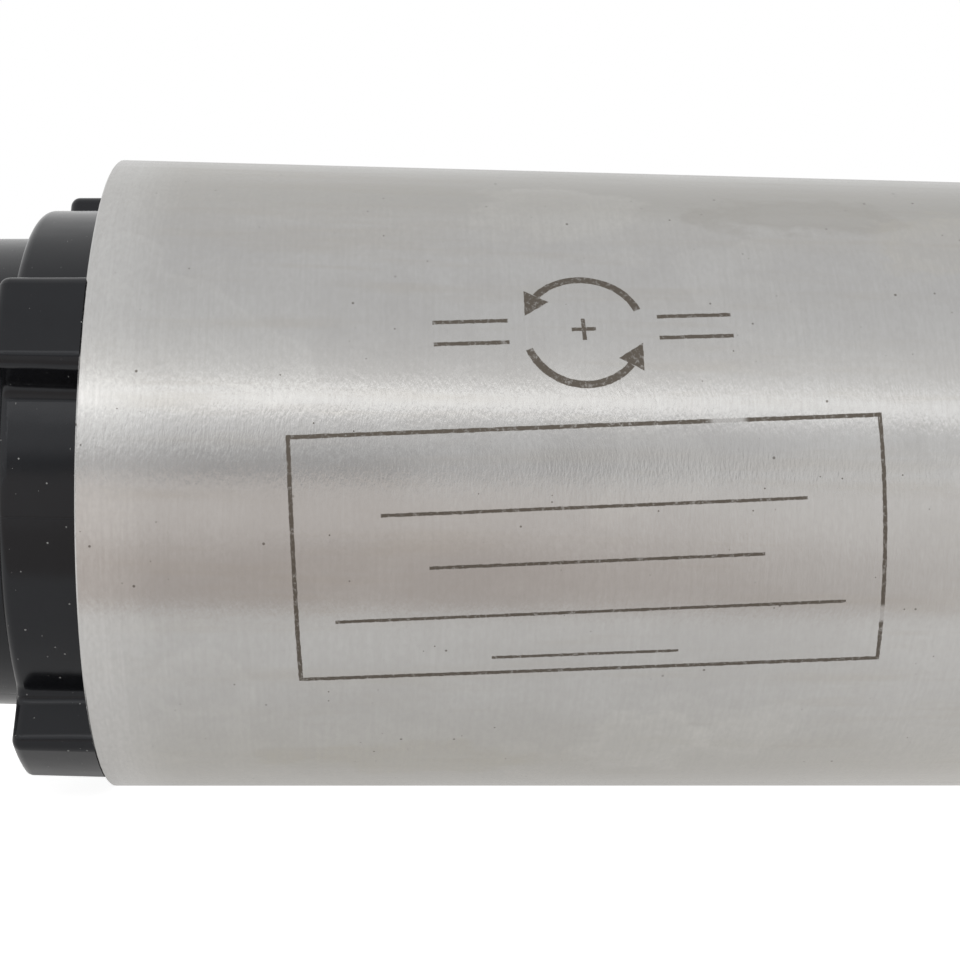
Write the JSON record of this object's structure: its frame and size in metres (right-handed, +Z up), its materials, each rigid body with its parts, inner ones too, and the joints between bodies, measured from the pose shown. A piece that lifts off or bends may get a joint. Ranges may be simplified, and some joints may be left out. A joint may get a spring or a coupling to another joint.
{
  "type": "router spindle motor",
  "caption": "Round air-cooled router spindle: brushed tube body, black eared end bell, fan hood with a power socket, and a collet nose.",
  "frame": {"origin": "on the spindle axis, in the plane of the body tube's front rim", "axes": "+X along the spindle axis towards the collet nose, +Z up"},
  "size_m": [0.2589, 0.065, 0.065],
  "materials": {
    "stainless_tube": "turned and brushed round the tube",
    "black_bell": "satin moulded black",
    "black_hood": "satin moulded black",
    "black_screws": "black oxide",
    "nickel": "nickel plate",
    "socket_insulator": "moulded",
    "contact_metal": "bare",
    "cast_aluminium": "as cast",
    "spring_steel": "blued",
    "bearing_steel": "ground and polished",
    "extruded_aluminium": "extruded",
    "lamination_steel": "stacked sheet",
    "winding_copper": "enamelled wire",
    "lead_insulation": "silicone sleeve",
    "black_anodised": "black anodised",
    "ground_steel": "hardened and ground",
    "blackened_steel": "black oxide",
    "black_nylon": "moulded",
    "cage_polymer": "phenolic",
    "nut_steel": "turned"
  },
  "bodies": {
    "housing": {"body_tube": "stainless_tube", "rear_bell": "black_bell", "fan_hood": "black_hood", "bell_screws": "black_screws", "power_socket": "nickel", "socket_insert": "socket_insulator", "socket_pins": "contact_metal", "socket_nut": "nickel", "rear_bracket": "cast_aluminium", "preload_spring": "spring_steel", "rear_outer_ring": "bearing_steel", "cooling_jacket": "extruded_aluminium", "stator_core": "lamination_steel", "stator_windings": "winding_copper", "motor_leads": "lead_insulation", "front_housing": "cast_aluminium", "front_outer_rings": "bearing_steel", "front_cover": "black_anodised", "cover_screws": "black_screws"},
    "rotor": {"spindle_shaft": "ground_steel", "rotor_core": "lamination_steel", "rotor_end_rings": "cast_aluminium", "front_inner_rings": "bearing_steel", "rear_inner_ring": "bearing_steel", "bearing_locknut": "blackened_steel", "rear_spacer": "ground_steel", "dust_slinger": "extruded_aluminium", "fan_impeller": "black_nylon", "fan_nut": "blackened_steel"},
    "front_cage": {"front_cages": "cage_polymer", "front_balls": "bearing_steel"},
    "rear_cage": {"rear_cage": "cage_polymer", "rear_balls": "bearing_steel"},
    "collet": {"spring_collet": "ground_steel"},
    "nut": {"collet_nut": "nut_steel"}
  },
  "joints": [
    {"name": "rotor_spin", "type": "hinge", "parent": "housing", "child": "rotor", "pos_m": [0, 0, 0], "axis": [1, 0, 0], "continuous": true},
    {"name": "front_cage_spin", "type": "hinge", "parent": "housing", "child": "front_cage", "pos_m": [0, 0, 0], "axis": [1, 0, 0], "continuous": true},
    {"name": "rear_cage_spin", "type": "hinge", "parent": "housing", "child": "rear_cage", "pos_m": [0, 0, 0], "axis": [1, 0, 0], "continuous": true},
    {"name": "collet_draw", "type": "slide", "parent": "rotor", "child": "collet", "axis": [1, 0, 0], "range_m": [0, 0.00225]},
    {"name": "nut_turn", "type": "hinge", "parent": "collet", "child": "nut", "pos_m": [0, 0, 0], "axis": [1, 0, 0], "range_deg": [0, 1080]}
  ],
  "couplings": [
    {"joint": "front_cage_spin", "follows": "rotor_spin", "ratio": 0.4021},
    {"joint": "rear_cage_spin", "follows": "rotor_spin", "ratio": 0.385},
    {"joint": "nut_turn", "follows": "collet_draw", "rad_per_m": 8377.6}
  ]
}
